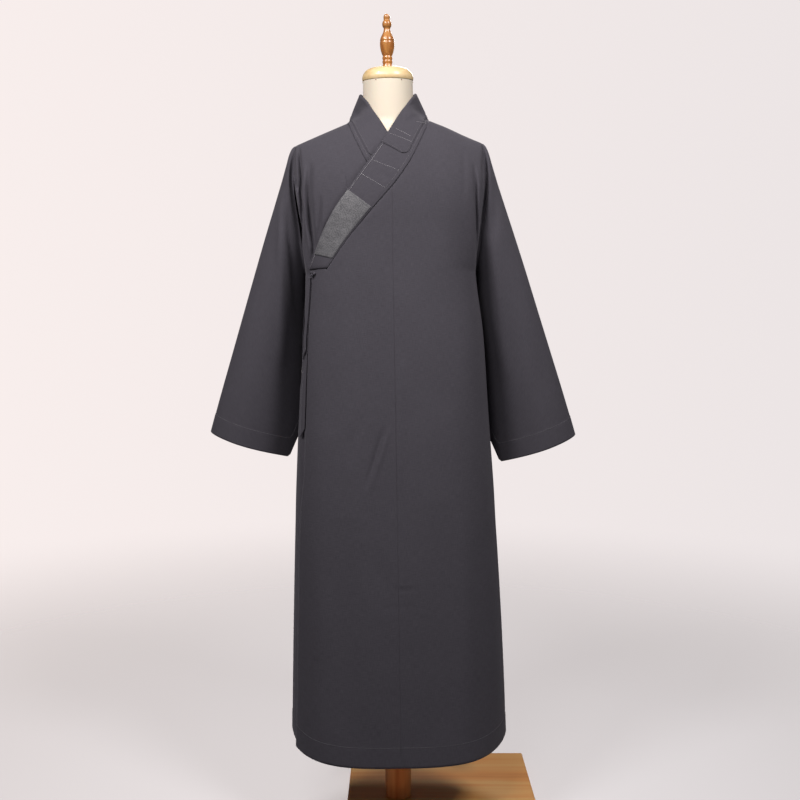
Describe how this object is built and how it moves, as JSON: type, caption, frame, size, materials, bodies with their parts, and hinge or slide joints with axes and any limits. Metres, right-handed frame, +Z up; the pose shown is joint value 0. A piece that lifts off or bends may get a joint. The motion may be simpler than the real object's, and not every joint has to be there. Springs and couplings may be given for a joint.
{
  "type": "monk robe on dress form",
  "caption": "Long charcoal monk's robe with a crossed band collar, wide flat sleeves and side slits, worn by a limbless dress form on a wooden pole and plate.",
  "frame": {"origin": "foot of the stand's pole, on the underside of the base plate", "axes": "+Z up, -Y towards the robe's front, +X towards the wearer's left"},
  "size_m": [0.8032, 0.422, 1.7435],
  "materials": {
    "robe_cloth": "matt plain weave",
    "brocade": "silky jacquard",
    "form_cover": "smooth stretched linen",
    "pale_wood": "satin varnish",
    "finial_wood": "satin varnish",
    "pole_wood": "satin varnish",
    "plate_wood": "satin varnish"
  },
  "bodies": {
    "root": {"front_left": "robe_cloth", "front_lap": "robe_cloth", "front_right": "robe_cloth", "back_left": "robe_cloth", "back_right": "robe_cloth", "sleeve_left": "robe_cloth", "sleeve_right": "robe_cloth", "collar_over": "robe_cloth", "collar_back": "robe_cloth", "collar_under": "robe_cloth", "collar_guard": "robe_cloth", "tie_knot": "robe_cloth", "tie_strap_long": "robe_cloth", "tie_strap_short": "robe_cloth", "brocade_patch": "brocade", "form_torso": "form_cover", "neck_cap": "pale_wood", "finial": "finial_wood", "stand_pole": "pole_wood", "base_plate": "plate_wood"}
  },
  "joints": []
}
